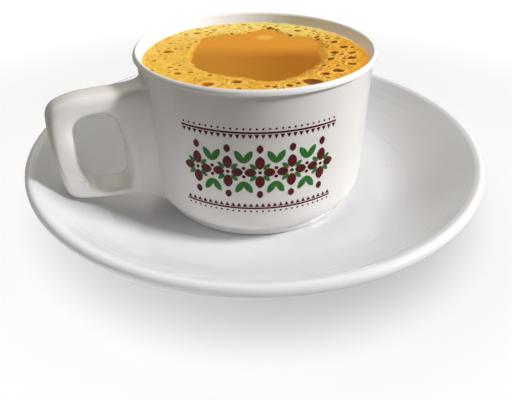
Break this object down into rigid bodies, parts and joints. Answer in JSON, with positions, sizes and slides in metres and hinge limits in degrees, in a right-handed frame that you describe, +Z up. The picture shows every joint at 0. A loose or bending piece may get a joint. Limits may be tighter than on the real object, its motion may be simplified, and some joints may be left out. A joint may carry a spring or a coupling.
{
  "type": "masala chai",
  "caption": "Milky spiced tea with a golden froth, filled to just under the lip of a straight-walled white cup with a squarish loop handle, on its deep white saucer.",
  "frame": {"origin": "centre of the saucer's foot ring, on the surface it stands on", "axes": "+Z up through the cup's axis, -Y towards the viewer of the picture, the handle 25 degrees from -X towards -Y"},
  "size_m": [0.1526, 0.1526, 0.0564],
  "materials": {
    "saucer_glaze": "glossy",
    "cup_glaze": "glossy",
    "chai": "wet",
    "froth": "satin"
  },
  "bodies": {
    "root": {"saucer": "saucer_glaze", "cup": "cup_glaze", "chai": "chai", "froth": "froth"}
  },
  "joints": []
}
